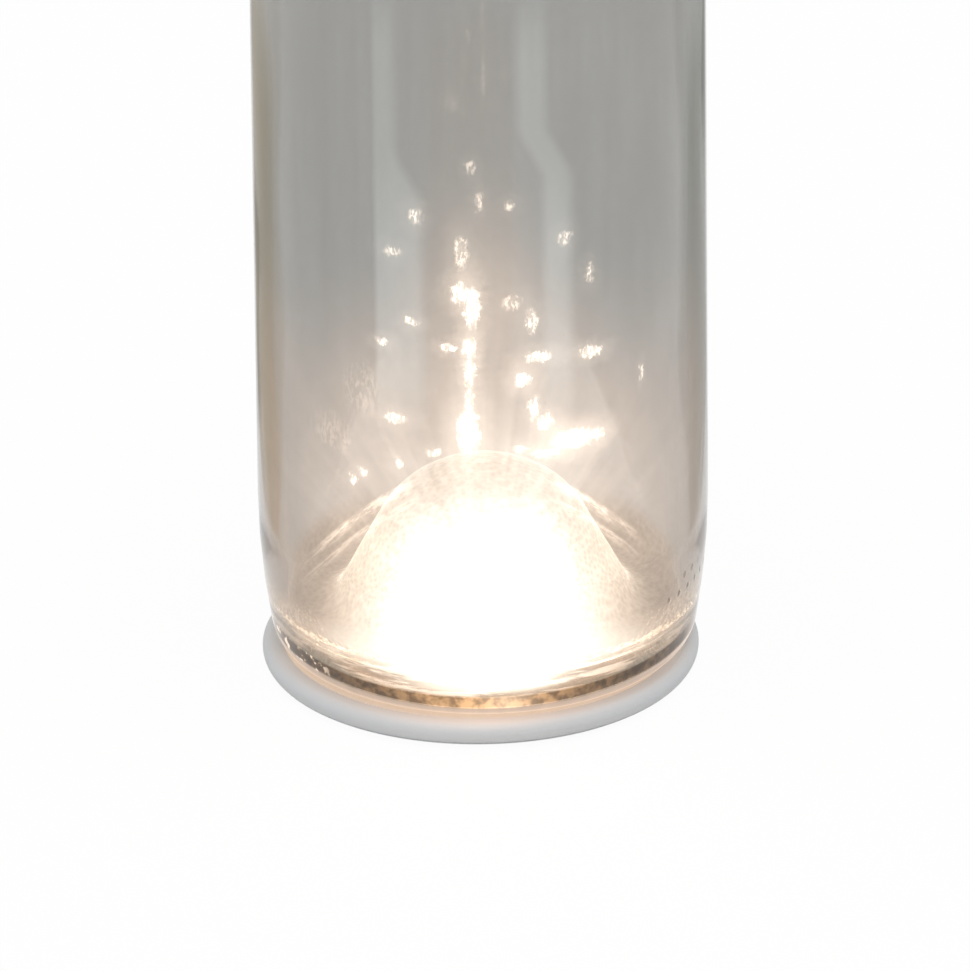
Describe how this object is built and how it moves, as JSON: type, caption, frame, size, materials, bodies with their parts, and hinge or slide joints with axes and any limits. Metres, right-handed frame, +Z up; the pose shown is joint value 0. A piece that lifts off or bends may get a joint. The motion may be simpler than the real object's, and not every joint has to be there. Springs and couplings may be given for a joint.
{
  "type": "bottle light",
  "caption": "Clear glass bottle with a tall punt and a cork stopper, standing on a slim white disc that lights it from below.",
  "frame": {"origin": "on the table, on the bottle's axis", "axes": "+Z up along the bottle's axis, +X to the right of the picture, -Y towards the camera"},
  "size_m": [0.0675, 0.0674, 0.2859],
  "materials": {
    "clear_glass": "clear moulded bottle glass",
    "natural_cork": "plain natural cork with small pits",
    "white_shell": "fine matte moulding",
    "milky_window": "milky diffuser, lit from below",
    "clear_silicone": "clear soft ring",
    "white_plate": "fine matte moulding",
    "foot_foam": "grey non-slip foam",
    "white_door": "fine matte moulding",
    "screw_steel": "nickel-plated steel",
    "white_board": "white solder mask",
    "diode_package": "white package",
    "phosphor": "yellow phosphor gel",
    "resistor_ceramic": "black glaze, tinned ends",
    "contact_steel": "nickel-plated spring steel",
    "side_contact_steel": "nickel-plated spring steel",
    "cell_can_steel": "brushed steel can",
    "cell_nylon": "nylon seal",
    "cell_cap_steel": "brushed steel cap",
    "switch_steel": "tinned steel housing",
    "pin_metal": "tinned brass",
    "knob_plastic": "black nylon"
  },
  "bodies": {
    "base": {"top_shell": "white_shell", "light_window": "milky_window", "grip_ring": "clear_silicone", "base_plate": "white_plate", "foot_ring": "foot_foam", "plate_screws": "screw_steel", "circuit_board": "white_board", "led_bodies": "diode_package", "led_lenses": "phosphor", "resistors": "resistor_ceramic", "negative_contact": "contact_steel", "positive_contact": "side_contact_steel", "cell_can": "cell_can_steel", "cell_seal": "cell_nylon", "cell_cap": "cell_cap_steel", "switch_body": "switch_steel", "switch_pins": "pin_metal"},
    "bottle": {"glass_bottle": "clear_glass"},
    "cork": {"cork_stopper": "natural_cork"},
    "door": {"battery_door": "white_door"},
    "knob": {"switch_knob": "knob_plastic"}
  },
  "joints": [
    {"name": "bottle_lift", "type": "slide", "parent": "base", "child": "bottle", "axis": [0, 0, 1], "range_m": [0, 0.05]},
    {"name": "cork_pull", "type": "slide", "parent": "bottle", "child": "cork", "axis": [0, 0, 1], "range_m": [0, 0.02014]},
    {"name": "door_twist", "type": "hinge", "parent": "base", "child": "door", "pos_m": [-0.00057, 0, 0.0005], "axis": [0, 0, -1], "range_deg": [0, 40]},
    {"name": "switch_slide", "type": "slide", "parent": "base", "child": "knob", "axis": [1, 0, 0], "range_m": [0, 0.0015]}
  ]
}
